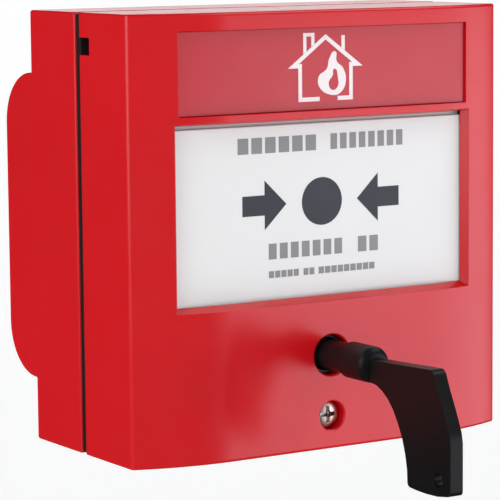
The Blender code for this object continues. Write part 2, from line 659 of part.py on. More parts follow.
def make_reset_key():
    """Turned barrel and collar with a square tip, and a flat handle that hangs down."""
    profile = [(0, -15.8), (KEY_COLLAR_R - 0.5, -15.8), (KEY_COLLAR_R, -15.3), (KEY_COLLAR_R, -6.9),
               (KEY_BARREL_R, -6.5), (KEY_BARREL_R, 5.7), (0, 5.7)]
    key = turned("reset_key", profile, 0, KEY_Z, 28, PARTS)
    handle = [(-13.0, -24.2), (-35.7, -23.3)]
    handle += [(-36.9, -24.1), (-38.2, -26.9), (-40.8, -32.7), (-42.4, -35.5), (-42.4, -47.2)]
    handle += [(-34.8, -48.0), (-28.3, -47.6)]
    handle += [(-28.2, -44.4), (-27.2, -39.6), (-25.5, -36.4), (-22.9, -32.3), (-20.1, -30.1)]
    handle += [(-17.7, -29.0), (-13.0, -28.6)]
    blade = outline("key_handle", handle, ALONG_X, -KEY_BLADE_HALF, KEY_BLADE_HALF)
    tip = block("key_tip", (-1.8, 1.8), (5, 9.3), (KEY_Z - 1.8, KEY_Z + 1.8))
    join(key, blade, tip)
    cut(key, cross_rod("ring_hole", (-4, 4), -38.4, -44.6, 1.5))
    return finish_part(key, BLACK, at(0, 0, KEY_Z))


# ---------------------------------------------------------------- the whole unit

def main():
    make_back_box()
    make_box_seal()
    make_cable_grommet()
    make_screw_insert()

    make_front_cover()
    make_pictogram_panel()
    make_cover_screw()
    make_operating_plate()
    make_plate_carrier()
    make_alarm_strip()

    make_mechanism_chassis()
    corners = [(x, z) for z in (BOSS_Z, -BOSS_Z) for x in (-BOSS_X, BOSS_X)]
    for number, (x, z) in enumerate(corners, start=1):
        make_screw(f"chassis_screw_{number}", x, z, (2.7, 15.3, 17.2), (1.2, 8.5))
    make_spring("return_spring_left", (-SPRING_X, SPRING_DEPTH), SPRING_Z, 1.7, 5, 0.3)
    make_spring("return_spring_right", (SPRING_X, SPRING_DEPTH), SPRING_Z, 1.7, 5, 0.3)

    make_circuit_board()
    for number, x in enumerate((-BOARD_SCREW_X, BOARD_SCREW_X), start=1):
        make_screw(f"board_screw_{number}", x, 0, (2.1, BOARD_DEPTHS[1] + GAP, 21.3), (1.0, 14.5))
    make_microswitch_body()
    make_switch_lever()
    make_switch_button()
    make_terminal_block()
    for number, x in enumerate(TERMINAL_X, start=1):
        make_screw(f"terminal_screw_{number}", x, TERMINAL_Z, (2.0, 25.6, 27.4), (1.15, 22.0))
    make_board_resistor("board_resistor_1", -8)
    make_board_resistor("board_resistor_2", -14)

    make_latch()
    make_latch_pin()
    make_spring("latch_spring", (LATCH_X, LATCH_Z), (8.2, 9.7), 2.3, 2, 0.2, axis_along_z=False)
    make_reset_cam()
    make_cam_retaining_ring()
    make_reset_key()


main()
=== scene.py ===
"""Looks of the manual call point: shells, plate, pictogram, key and screw around the CAD frame.

Lengths are in millimetres in the CAD part's own frame, and those of the studio are in metres. A depth
is measured from the front of the cover towards the wall, and at() turns a place into metres.
"""

import math

import bmesh
import bpy
from mathutils import Matrix, Vector


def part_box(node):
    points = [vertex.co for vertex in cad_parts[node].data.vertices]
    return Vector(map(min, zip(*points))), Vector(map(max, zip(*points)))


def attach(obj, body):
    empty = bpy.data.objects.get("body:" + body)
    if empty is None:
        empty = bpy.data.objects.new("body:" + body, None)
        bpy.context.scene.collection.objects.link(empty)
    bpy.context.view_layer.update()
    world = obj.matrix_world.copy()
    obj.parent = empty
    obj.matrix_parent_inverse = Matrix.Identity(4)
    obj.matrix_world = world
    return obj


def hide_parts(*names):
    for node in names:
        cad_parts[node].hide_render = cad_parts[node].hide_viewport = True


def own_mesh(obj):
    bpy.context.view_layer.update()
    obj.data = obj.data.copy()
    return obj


MM = 0.001
TOUCH = 0.01                  # a point this close to a face or an edge lies on it
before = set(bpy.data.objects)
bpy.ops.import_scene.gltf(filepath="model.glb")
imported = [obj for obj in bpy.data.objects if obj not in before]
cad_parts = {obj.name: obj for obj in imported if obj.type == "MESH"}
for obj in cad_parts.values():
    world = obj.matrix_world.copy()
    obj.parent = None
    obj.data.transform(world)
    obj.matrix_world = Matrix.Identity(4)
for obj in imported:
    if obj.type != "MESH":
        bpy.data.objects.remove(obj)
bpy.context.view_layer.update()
FRONT_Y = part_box("front_cover")[0][1]
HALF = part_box("front_cover")[1][0] / MM
DEPTH = -FRONT_Y / MM

# Camera, placed from the centre of the cover's front
CAMERA_PLACE = (-294.25, -434.43, 62.48)
CAMERA_AZIMUTH = 32.298       # degrees that the view turns from +Y towards +X
CAMERA_DOWN = 7.193
CAMERA_ROLL = -0.524
CAMERA_LENS = 186.9
CAMERA_SENSOR = 36.0
CAMERA_NEAR = 0.01            # metres

# Ends of the cutters
BEFORE_FRONT = -5.0
PAST_COVER = 30.0
PAST_ROOM = 12.0
BOX_WALL_CUT = (50.0, 60.0)   # depths that hold the rear wall
PAST_SIDE = 1.0               # a cutter through a side wall ends this far past it

# Cover
CROWN_FLAT = 24.0             # the front is flat this far out from the middle
CROWN_DROP = 4.3              # and this much deeper at the sides
COVER_REAR = 23.1
COVER_WALL = 2.4
IN_WALL = COVER_WALL / 2      # what stands inside the cover starts here, so it joins the wall
EDGE_ROUND = 2.5
UPRIGHT_SHARE, END_SHARE, CORNER_SHARE, REAR_SHARE = 1.0, 0.8, 0.6, 0.25     # of EDGE_ROUND
RIM_DEPTH = 2.0               # the window's sloping walls go this deep below the crown
WINDOW_MOUTH = (35.9, -14.3, 23.25)      # half width, sill and top at the surface
WINDOW_FOOT = (34.8, -13.3, 22.8)        # the same at the foot of the sloping walls
WINDOW_LEAD = 3.0             # the window's cutter starts this far in front of the crown
PLATE_ROOM = ((-36.4, 36.4), (3.1, PAST_ROOM), (-18.8, 23.7))
PANEL_POCKET = (35.05, 24.65, 41.45)     # half width, lower and upper edge
PANEL_FIT = 0.03              # gap between the panel and its pocket
PANEL_THICK = 1.8
POCKET_FLOOR = 3.9
SHELF = ((-38, 38), (2.2, 5.4), (23.3, 43.0))      # holds the panel's pocket
NOTCH_FRONT, NOTCH_REAR, NOTCH_Z = 19.0, 25.0, (36.5, 40.0)
POST_X, POST_Z = 30.0, 33.0   # four posts that carry the mechanism
POST_RADIUS, POST_BORE, POST_REAR = 3.6, 1.55, 12.7
UPPER_POST_FRONT, LOWER_POST_FRONT = 4.6, 1.7
BORE_DEPTHS = (7.0, 14.0)
HOOK_X, HOOK_HALF_W = 25.0, 5.0
# depths and heights of each hook's root, bar and lip
HOOK_PARTS = {"root": ((15, 22), (40.4, 43)), "bar": ((15.5, 28), (40.4, 42.2)),
              "lip": ((26.6, 28), (41, 43.4))}

# Keyhole and cover screw
KEY_Z = -25.5
KEY_BOSS, KEYHOLE, KEYHOLE_MOUTH = 7.0, 4.2, 5.2                     # radii
KEY_BOSS_REAR = 8.0
KEYHOLE_CHAMFER = (-0.7, 0.3)
SCREW_Z = -38.1
SCREW_TUBE, SCREW_PASSAGE, SCREW_RECESS, RECESS_MOUTH = 4.7, 1.85, 3.0, 3.95     # radii
SCREW_RECESS_FLOOR, SCREW_TUBE_REAR = 4.0, 23.0
RECESS_CHAMFER = (-0.7, 0.25)

# Back box
BOX_FRONT = 25.1
BOX_WALL = 2.5
BOX_LEAD = 5.0                # the hollow's cutter starts this far in front of the box
BOX_ROUND = 0.9
BOX_LONG_SHARE, BOX_FRONT_SHARE, BOX_END_SHARE = 1.0, 0.7, 0.75      # of BOX_ROUND
PLINTH_FRONT = 44.3
PLINTH_HALF_H = 32.0
PLINTH_ROUND = 11.0
CABLE_HOLE_Z, CABLE_HOLE = 13.0, 7.0
SLOT_X, SLOT_REACH, SLOT_RADIUS = 30.0, 2.2, 2.35
HOOK_ROOM = ((25.9, 29), (42, 44))
HOOK_SIDE_GAP = 0.5
# the screw's boss and what is cut out of it: depths and radius
SCREW_BOSS, INSERT_POCKET, SHANK_RELIEF = ((25.5, 43), 5.0), ((20, 30.5), 3.5), ((25, 33), 2.2)

# Box seal: a black rubber bead that nearly fills the groove, its black also standing in for the
# groove's painted shade
SEAL_OUTER, SEAL_INNER, SEAL_ROUND, SEAL_GAP = 44.7, 42.8, 0.35, 0.05
SEAL_CUT = (20.0, 28.0)

# Plate and its springs
PLATE_HALF_W = 35.4
PLATE_TOP = 22.0              # above this the plate steps back under the bar
TONGUE_LAP = 0.4
TONGUE_DEPTHS = (1.1, 2.0)    # behind the plate's face
SPRING_WIRE = 0.6
PRINT_THICK = 0.05
MITRE_LIMIT = 0.3             # a printed line's corners reach up to half its width over this

# Studio
FLOOR_Z = -1.20
SWEEP_RADIUS, SWEEP_CURVE, SWEEP_TOP = 4.0, 1.2, 3.6
SWEEP_FLAT = 1.5
SWEEP_LIGHT = 0.37
WORLD_LIGHT = 0.40
WORLD_COLOUR = (0.95, 0.97, 1.0)
WHITE = (1.0, 0.985, 1.0)
COOL_PINK = (1.0, 0.96, 1.08)
# name, (azimuth, elevation, distance), size, radiance, colour
LIGHTS = [
    ("softbox_right", (54.0, -10.5, 0.67), (0.65, 0.34), 2.15, COOL_PINK),
    ("key_left", (-78, 16, 0.90), (0.60, 0.70), 2.6, WHITE),
    ("top_card", (64, 50, 0.80), (0.55, 0.38), 2.5, WHITE),
    ("back_card", (145, 10, 1.40), (0.90, 0.60), 1.2, WHITE),
]


def at(x, depth, z):
    """Place in metres of a point given by x, depth and z in millimetres."""
    return Vector((x * MM, FRONT_Y + depth * MM, z * MM))


def crown(x):
    """Depth of the cover's front surface at x."""
    past_flat = max(0.0, abs(x) - CROWN_FLAT)
    return CROWN_DROP * (past_flat / (HALF - CROWN_FLAT)) ** 2


# ---------------------------------------------------------------- mesh helpers

def new_object(name, bm):
    mesh = bpy.data.meshes.new(name)
    bmesh.ops.recalc_face_normals(bm, faces=bm.faces)
    bm.to_mesh(mesh)
    bm.free()
    obj = bpy.data.objects.new(name, mesh)
    bpy.context.scene.collection.objects.link(obj)
    return obj


def bake(obj):
    """Apply every modifier and remove the objects that they used."""
    tools = [modifier.object for modifier in obj.modifiers if modifier.type == "BOOLEAN"]
    bpy.context.view_layer.update()
    mesh = bpy.data.meshes.new_from_object(obj.evaluated_get(bpy.context.evaluated_depsgraph_get()))
    mesh.name = obj.name
    obj.modifiers.clear()
    obj.data = mesh
    for tool in tools:
        bpy.data.objects.remove(tool, do_unlink=True)


def smooth(obj, degrees=32, weighted=True):
    """Shade smooth, keep edges sharper than the angle, and let large faces set the normals."""
    obj.data.shade_smooth()
    obj.data.set_sharp_from_angle(angle=math.radians(degrees))
    if weighted:
        modifier = obj.modifiers.new("weighted", "WEIGHTED_NORMAL")
        modifier.keep_sharp = True
        modifier.weight = 50
        bake(obj)
    return obj


def combine(obj, operation, *tools):
    """Boolean the object with each tool in turn; the tools are used up."""
    for tool in tools:
        modifier = obj.modifiers.new(tool.name, "BOOLEAN")
        modifier.operation = operation
        modifier.solver = "EXACT"
        modifier.object = tool
    bake(obj)


def extrude(bm, outline, place, low, high):
    """Solid from a flat outline between two levels; place(a, b, level) gives each of its points."""
    near = [bm.verts.new(place(a, b, low)) for a, b in outline]
    far = [bm.verts.new(place(a, b, high)) for a, b in outline]
    bm.faces.new(near)
    bm.faces.new(far)
    bridge(bm, near, far)


def bridge(bm, ring, after):
    """Faces between two closed rings of vertices; a ring of one vertex is a point."""
    for side in range(max(len(ring), len(after))):
        corners = [ring[side % len(ring)], ring[(side + 1) % len(ring)],
                   after[(side + 1) % len(after)], after[side % len(after)]]
        bm.faces.new(list(dict.fromkeys(corners)))


def block(name, x, depth, z, bevel=0.0):
    """Box between two values of x, depth and z, with all its edges rounded by bevel."""
    low, high = at(x[0], depth[0], z[0]), at(x[1], depth[1], z[1])
    bm = bmesh.new()
    place = Matrix.Translation((low + high) / 2) @ Matrix.Diagonal((*(high - low), 1.0))
    bmesh.ops.create_cube(bm, size=1.0, matrix=place)
    if bevel:
        bmesh.ops.bevel(bm, geom=bm.edges[:], offset=bevel * MM, segments=3, profile=0.5,
                        affect="EDGES")
    return new_object(name, bm)


def rod(name, centre, depth, radius, sides=48, radius_rear=None):
    """Cylinder or cone along the depth, centred on (x, z) and between two depths."""
    middle = at(centre[0], sum(depth) / 2, centre[1])
    bm = bmesh.new()
    place = Matrix.Translation(middle) @ Matrix.Rotation(math.radians(90), 4, "X")
    bmesh.ops.create_cone(bm, cap_ends=True, segments=sides, radius2=radius * MM,
                          radius1=(radius_rear or radius) * MM,
                          depth=(depth[1] - depth[0]) * MM, matrix=place)
    return new_object(name, bm)


def prism(name, outline, place, low, high):
    bm = bmesh.new()
    extrude(bm, outline, place, low, high)
    return new_object(name, bm)


def along_x(depth, z, x):
    return at(x, depth, z)


def along_depth(x, z, depth):
    return at(x, depth, z)


def along_z(x, depth, z):
    return at(x, depth, z)


def arc(centre, radius, start_deg, end_deg, steps):
    points = []
    for step in range(steps + 1):
        angle = math.radians(start_deg + (end_deg - start_deg) * step / steps)
        points.append((centre[0] + radius * math.cos(angle), centre[1] + radius * math.sin(angle)))
    return points


def turned(name, profile, x, z, sides=64):
    """Solid of revolution about an axis along the depth, from a profile of (radius, depth)."""
    bm = bmesh.new()
    rings = []
    for radius, depth in profile:
        angles = [2 * math.pi * side / sides for side in range(sides if radius else 1)]
        rings.append([bm.verts.new(at(x + radius * math.cos(a), depth, z + radius * math.sin(a)))
                      for a in angles])
    for ring, after in zip(rings, rings[1:]):
        bridge(bm, ring, after)
    return new_object(name, bm)


def weigh_edges(obj, weight_of):
    """Give every edge the bevel weight that weight_of(ends) returns, ends in millimetres."""
    bm = bmesh.new()
    bm.from_mesh(obj.data)
    layer = bm.edges.layers.float.new("bevel_weight_edge")
    for edge in bm.edges:
        ends = [(v.co.x / MM, (v.co.y - FRONT_Y) / MM, v.co.z / MM) for v in edge.verts]
        edge[layer] = weight_of(ends)
    bm.to_mesh(obj.data)
    bm.free()


def bevel_by_weight(obj, width, segments=6):
    modifier = obj.modifiers.new("round", "BEVEL")
    modifier.limit_method = "WEIGHT"
    modifier.width = width * MM
    modifier.segments = segments
    modifier.use_clamp_overlap = True
    bake(obj)


# ---------------------------------------------------------------- materials
# Scales of noise are in cycles per metre.

MIX_FIRST, MIX_SECOND, MIX_RESULT = 6, 7, 2      # the colour sockets of a Mix node


def node(tree, kind, **values):
    """Add a node; keywords are its properties, or its inputs with underscores for spaces."""
    made = tree.nodes.new(kind)
    for key, value in values.items():
        if hasattr(made, key):
            setattr(made, key, value)
        else:
            made.inputs[key.replace("_", " ")].default_value = value
    return made


def start_material(name, **sockets):
    material = bpy.data.materials.new(name)
    material.use_nodes = True
    tree = material.node_tree
    shader = tree.nodes["Principled BSDF"]
    for key, value in sockets.items():
        shader.inputs[key.replace("_", " ")].default_value = value
    coordinates = node(tree, "ShaderNodeTexCoord")
    return material, tree, shader, coordinates.outputs["Object"]


def paint(tree, shader, factor, first, second):
    """Base colour that goes from first to second as factor goes from 0 to 1."""
    mix = node(tree, "ShaderNodeMix", data_type="RGBA")
    tree.links.new(factor, mix.inputs[0])
    mix.inputs[MIX_FIRST].default_value = (*first, 1)
    mix.inputs[MIX_SECOND].default_value = (*second, 1)
    tree.links.new(mix.outputs[MIX_RESULT], shader.inputs["Base Color"])


def gloss(tree, shader, value, low, high):
    """Roughness that goes from low to high with a noise."""
    tree.links.new(remap(tree, value, low, high), shader.inputs["Roughness"])


def mapped(tree, place, **sockets):
    stretch = node(tree, "ShaderNodeMapping", **sockets)
    tree.links.new(place, stretch.inputs["Vector"])
    return stretch.outputs[0]


def noise(tree, place, scale, detail=3.0):
    made = node(tree, "ShaderNodeTexNoise", Scale=scale, Detail=detail)
    tree.links.new(place, made.inputs["Vector"])
    return made.outputs["Fac"]


def remap(tree, value, low, high, from_low=0.3, from_high=0.7):
    """Value stretched to low..high; noise lies mostly between 0.3 and 0.7."""
    made = node(tree, "ShaderNodeMapRange", From_Min=from_low, From_Max=from_high, To_Min=low,
                To_Max=high)
    tree.links.new(value, made.inputs[0])
    return made.outputs[0]


def relief(tree, shader, height, depth_mm, edge_mm=0.0):
    """Bump of the given depth, over edges softened by edge_mm."""
    bump = node(tree, "ShaderNodeBump", Strength=1.0, Distance=depth_mm * MM)
    tree.links.new(height, bump.inputs["Height"])
    if edge_mm:
        soft = node(tree, "ShaderNodeBevel", samples=4)
        soft.inputs["Radius"].default_value = edge_mm * MM
        tree.links.new(soft.outputs[0], bump.inputs["Normal"])
    tree.links.new(bump.outputs[0], shader.inputs["Normal"])


def moulded(name, colour, roughness, shade=0.93, grain=2600.0, grain_mm=0.012, edge_mm=0.0,
            specular=0.5):
    """Moulded plastic: fine spark texture, faint flow marks in its colour, and uneven gloss."""
    material, tree, shader, place = start_material(name, Specular_IOR_Level=specular)
    darker = tuple(channel * shade for channel in colour)
    flow = remap(tree, noise(tree, place, 22.0, 2.0), 0.0, 1.0)
    paint(tree, shader, flow, darker, colour)
    gloss(tree, shader, noise(tree, place, 160.0, 4.0), roughness * 0.9, roughness * 1.1)
    relief(tree, shader, noise(tree, place, grain, 2.0), grain_mm, edge_mm)
    return material


def metal(name, colour, roughness, streak=(1.0, 1.0, 24.0)):
    """Turned or plated metal with fine streaks."""
    material, tree, shader, place = start_material(name, Metallic=1.0)
    streaks = noise(tree, mapped(tree, place, Scale=streak), 900.0)
    bright = tuple(min(1.0, channel * 1.12) for channel in colour)
    paint(tree, shader, remap(tree, streaks, 0.0, 1.0), colour, bright)
    gloss(tree, shader, streaks, roughness * 0.8, roughness * 1.25)
    relief(tree, shader, streaks, 0.006, edge_mm=0.1)
    return material


def striped(name, first, second, pitch_mm, roughness=0.4):
    """Diagonal warning stripes, pitch_mm apart along X."""
    material, tree, shader, place = start_material(name)
    scale = math.pi / 5 / (pitch_mm * MM)        # bands repeat every pi / 5 of a band wave's input
    wave = node(tree, "ShaderNodeTexWave", wave_type="BANDS", bands_direction="DIAGONAL", Scale=1.0)
    tree.links.new(mapped(tree, place, Scale=(scale, 0.0, scale)), wave.inputs["Vector"])
    paint(tree, shader, remap(tree, wave.outputs["Fac"], 0.0, 1.0, 0.47, 0.53), first, second)
    gloss(tree, shader, noise(tree, place, 300.0), roughness * 0.9, roughness * 1.1)
    relief(tree, shader, noise(tree, place, 2000.0), 0.006)
    return material


def circuit_laminate(name):
    """Green solder mask over faint copper tracks."""
    lane_fold = 0.09                             # the lanes repeat every two of these, in cells
    track_edge = (0.035, 0.045)                  # mask turns to copper between these
    mask, copper = (0.012, 0.10, 0.035), (0.035, 0.22, 0.075)
    material, tree, shader, place = start_material(name, Coat_Weight=0.4, Coat_Roughness=0.15)
    turn = (math.radians(90), 0, math.radians(45))
    cells = node(tree, "ShaderNodeTexVoronoi", voronoi_dimensions="2D", distance="MANHATTAN",
                 Scale=110.0)
    lanes = node(tree, "ShaderNodeMath", operation="PINGPONG")
    lanes.inputs[1].default_value = lane_fold
    tree.links.new(mapped(tree, place, Rotation=turn), cells.inputs["Vector"])
    tree.links.new(cells.outputs["Distance"], lanes.inputs[0])
    tracks = remap(tree, lanes.outputs[0], 0.0, 1.0, *track_edge)
    paint(tree, shader, tracks, mask, copper)
    gloss(tree, shader, noise(tree, place, 400.0), 0.28, 0.4)
    relief(tree, shader, tracks, 0.03)
    return material


def resistor_bands(name):
    """Lacquered body with coloured bands across X, and tinned legs beyond it."""
    half_length = 6.2 * MM
    tin, lacquer, gold = (0.55, 0.55, 0.56), (0.40, 0.31, 0.17), (0.45, 0.30, 0.06)
    red, black, orange = (0.35, 0.05, 0.02), (0.03, 0.03, 0.03), (0.50, 0.16, 0.01)
    # where each colour starts, as a share of the length
    bands = [(0.0, tin), (0.22, lacquer), (0.32, red), (0.37, lacquer), (0.44, black),
             (0.49, lacquer), (0.56, orange), (0.61, lacquer), (0.70, gold), (0.75, lacquer),
             (0.78, tin)]
    material, tree, shader, place = start_material(name)
    split = node(tree, "ShaderNodeSeparateXYZ")
    tree.links.new(place, split.inputs[0])
    ramp = node(tree, "ShaderNodeValToRGB")
    ramp.color_ramp.interpolation = "CONSTANT"
    elements = ramp.color_ramp.elements
    elements[0].color = (*bands[0][1], 1)
    elements[1].position = bands[1][0]
    elements[1].color = (*bands[1][1], 1)
    for start, colour in bands[2:]:
        elements.new(start).color = (*colour, 1)
    tree.links.new(remap(tree, split.outputs[0], 0.0, 1.0, -half_length, half_length), ramp.inputs[0])
    tree.links.new(ramp.outputs[0], shader.inputs["Base Color"])
    grain = noise(tree, place, 500.0)
    gloss(tree, shader, grain, 0.25, 0.4)
    relief(tree, shader, grain, 0.01)
    return material


PRINT = {"grain_mm": 0.004, "specular": 0.3}
MATERIALS = {
    "housing": moulded("red_housing", (0.61, 0.0050, 0.0095), 0.24, grain_mm=0.003, edge_mm=0.22,
                       specular=0.53),
    "panel": moulded("red_panel", (0.51, 0.012, 0.021), 0.22, grain=900.0, grain_mm=0.003,
                     edge_mm=0.2, specular=0.58),
    "plate": moulded("white_plate", (0.755, 0.765, 0.755), 0.33, shade=0.985, grain_mm=0.006,
                     edge_mm=0.2, specular=0.35),
    "print_grey": moulded("print_grey", (0.047, 0.053, 0.066), 0.45, shade=0.9, **PRINT),
    "print_light_grey": moulded("print_light_grey", (0.27, 0.275, 0.285), 0.45, shade=0.92, **PRINT),
    "print_white": moulded("print_white", (0.86, 0.80, 0.80), 0.40, shade=0.96, **PRINT),
    "key": moulded("black_key", (0.009, 0.009, 0.0095), 0.40, shade=0.8, grain=1500.0,
                   grain_mm=0.008, edge_mm=0.15, specular=0.22),
    "black": moulded("black_plastic", (0.018, 0.018, 0.020), 0.46, shade=0.8, grain=1500.0,
                     grain_mm=0.02, edge_mm=0.15),
    "seal": moulded("black_seal", (0.008, 0.008, 0.008), 0.80, shade=0.8, grain=1200.0,
                    grain_mm=0.03),
    "terminal": moulded("terminal_plastic", (0.025, 0.22, 0.10), 0.42, edge_mm=0.15),
    "button": moulded("switch_button", (0.70, 0.70, 0.66), 0.40, edge_mm=0.1),
    "screw": metal("screw_metal", (0.80, 0.72, 0.62), 0.34, streak=(1.0, 1.0, 1.0)),
    "steel": metal("steel", (0.56, 0.56, 0.57), 0.30),
    "brass": metal("brass", (0.60, 0.42, 0.16), 0.28),
    "strip": striped("alarm_strip", (0.80, 0.55, 0.02), (0.015, 0.015, 0.015), 4.0212),
    "board": circuit_laminate("circuit_board"),
    "resistor": resistor_bands("resistor_body"),
}


NODE_MATERIALS = {
    "seal": ["cable_grommet"],
    "brass": ["screw_insert"],
    "strip": ["alarm_strip"],
    "black": ["mechanism_chassis", "plate_carrier", "microswitch_body", "reset_cam"],
    "board": ["circuit_board"],
    "terminal": ["terminal_block"],
    "button": ["switch_button"],
    "resistor": ["board_resistor_1", "board_resistor_2"],
    "steel": ["latch", "latch_pin", "latch_spring", "switch_lever", "cam_retaining_ring",
              "board_screw_1", "board_screw_2",
              *(f"terminal_screw_{n}" for n in range(1, 5)),
              *(f"chassis_screw_{n}" for n in range(1, 5))],
}


def dress_cad_nodes():
    for material, names in NODE_MATERIALS.items():
        for name in names:
            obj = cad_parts[name]
            for slot in obj.material_slots:
                slot.material = MATERIALS[material]


def place_piece(obj, material, body, slot, *replaced):
    """Give a visible piece its material, its body and the CAD nodes that it stands for; the slot is
    not used.
    """
    obj.data.materials.clear()
    obj.data.materials.append(MATERIALS[material])
    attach(obj, body)
    if replaced:
        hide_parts(*replaced)


# ---------------------------------------------------------------- front cover

def crown_section(half_width, offset, rear, steps=28):
    """Outline in x and depth: the crown moved back by offset, closed at a flat rear."""
    side = [CROWN_FLAT + (half_width - CROWN_FLAT) * step / steps for step in range(steps + 1)]
    across = [-x for x in reversed(side)] + side
    return [(x, crown(x) + offset) for x in across] + [(half_width, rear), (-half_width, rear)]


def sloped_window(steps=60):
    """Cutter for the plate's window. It follows the crown, and its walls slope from mouth to foot."""
    grow = (WINDOW_LEAD + RIM_DEPTH) / RIM_DEPTH
    start = [foot + (mouth - foot) * grow for mouth, foot in zip(WINDOW_MOUTH, WINDOW_FOOT)]
    bm = bmesh.new()
    lows, highs = [], []
    for (half, low_z, high_z), offset in ((start, -WINDOW_LEAD), (WINDOW_FOOT, RIM_DEPTH),
                                          (WINDOW_FOOT, PAST_ROOM)):
        across = [half * (2 * step / steps - 1) for step in range(steps + 1)]
        lows.append([bm.verts.new(at(x, crown(x) + offset, low_z)) for x in across])
        highs.append([bm.verts.new(at(x, crown(x) + offset, high_z)) for x in across])
    for low, high in ((lows[0], highs[0]), (lows[-1], highs[-1])):
        for step in range(steps):
            bm.faces.new((low[step], low[step + 1], high[step + 1], high[step]))
    for ring in range(len(lows) - 1):
        for edge in (lows, highs):
            for step in range(steps):
                bm.faces.new((edge[ring][step], edge[ring][step + 1], edge[ring + 1][step + 1],
                              edge[ring + 1][step]))
        for end in (0, steps):
            bm.faces.new((lows[ring][end], highs[ring][end], highs[ring + 1][end],
                          lows[ring + 1][end]))
    return new_object("window", bm)


def cover_edge_share(ends):
    """Share of EDGE_ROUND for an edge of the cover's outer block."""
    (x0, d0, z0), (x1, d1, z1) = ends
    on_side = min(abs(x0), abs(x1)) > HALF - TOUCH and x0 * x1 > 0
    on_end = abs(z0) > HALF - TOUCH and z0 * z1 > 0
    if min(d0, d1) > COVER_REAR - TOUCH:
        return REAR_SHARE
    if on_end and max(d0, d1) < CROWN_DROP + TOUCH:
        return END_SHARE
    if on_side:
        return UPRIGHT_SHARE if z0 != z1 else CORNER_SHARE
    return 0.0


def make_front_cover():
    key_place, screw_place = (0, KEY_Z), (0, SCREW_Z)
    cover = prism("front_cover_shell", crown_section(HALF, 0, COVER_REAR), along_z, -HALF, HALF)
    weigh_edges(cover, cover_edge_share)
    bevel_by_weight(cover, EDGE_ROUND)
    inner = HALF - COVER_WALL
    section = crown_section(inner, COVER_WALL, PAST_COVER)
    combine(cover, "DIFFERENCE", prism("hollow", section, along_z, -inner, inner))
    combine(cover, "UNION", block("shelf", *SHELF),
            rod("key_boss", key_place, (IN_WALL, KEY_BOSS_REAR), KEY_BOSS),
            rod("tube", screw_place, (IN_WALL, SCREW_TUBE_REAR), SCREW_TUBE))
    inside = []
    for side in (-1, 1):
        x = side * POST_X
        hook_x = (side * HOOK_X - HOOK_HALF_W, side * HOOK_X + HOOK_HALF_W)
        inside += [rod("post", (x, POST_Z), (UPPER_POST_FRONT, POST_REAR), POST_RADIUS, 32),
                   rod("post", (x, -POST_Z), (LOWER_POST_FRONT, POST_REAR), POST_RADIUS, 32)]
        inside += [block(f"hook_{part}", hook_x, depths, z)
                   for part, (depths, z) in HOOK_PARTS.items()]
    combine(cover, "UNION", *inside)
    half, low, high = PANEL_POCKET
    tools = [sloped_window(),
             block("pocket", (-half, half), (BEFORE_FRONT, POCKET_FLOOR), (low, high)),
             block("plate_room", *PLATE_ROOM),
             rod("keyhole", key_place, (BEFORE_FRONT, PAST_ROOM), KEYHOLE, 96),
             rod("keyhole_chamfer", key_place, KEYHOLE_CHAMFER, KEYHOLE_MOUTH, 96, KEYHOLE),
             rod("screw_recess", screw_place, (BEFORE_FRONT, SCREW_RECESS_FLOOR), SCREW_RECESS, 64),
             rod("recess_chamfer", screw_place, RECESS_CHAMFER, RECESS_MOUTH, 64, SCREW_RECESS),
             rod("screw_passage", screw_place, (BEFORE_FRONT, PAST_COVER), SCREW_PASSAGE, 32)]
    for side in (-1, 1):
        tools += [rod("bore", (side * POST_X, z), BORE_DEPTHS, POST_BORE, 24)
                  for z in (-POST_Z, POST_Z)]
        wall = sorted((side * (inner - PAST_SIDE), side * (HALF + PAST_SIDE)))
        tools.append(block("notch", wall, (NOTCH_FRONT, NOTCH_REAR), NOTCH_Z))
    combine(cover, "DIFFERENCE", *tools)
    smooth(cover)
    place_piece(cover, "housing", "front_unit", "red_housing", "front_cover")


# ---------------------------------------------------------------- back box

def box_section(inset):
    """Outline of the box in depth and z, made smaller by inset all round and open at the front."""
    half_h = HALF - inset
    plinth_half = PLINTH_HALF_H - inset
    step = PLINTH_FRONT - inset
    radius = PLINTH_ROUND - inset
    front = BOX_FRONT - (BOX_LEAD if inset else 0)
    upper = [(front, half_h), (step, half_h), (step, plinth_half)]
    upper += arc((DEPTH - inset - radius, plinth_half - radius), radius, 90, 0, 24)
    return upper + [(depth, -z) for depth, z in reversed(upper)]


def box_edge_share(ends):
    """Share of BOX_ROUND for an edge of the box's outer block."""
    (x0, d0, z0), (x1, d1, z1) = ends
    at_step = abs(abs(z0) - PLINTH_HALF_H) < TOUCH and abs(d0 - PLINTH_FRONT) < TOUCH and d0 == d1
    if x0 != x1:
        return BOX_LONG_SHARE if abs(z0) > HALF - TOUCH or at_step else 0.0
    return BOX_FRONT_SHARE if max(d0, d1) < BOX_FRONT + TOUCH else BOX_END_SHARE


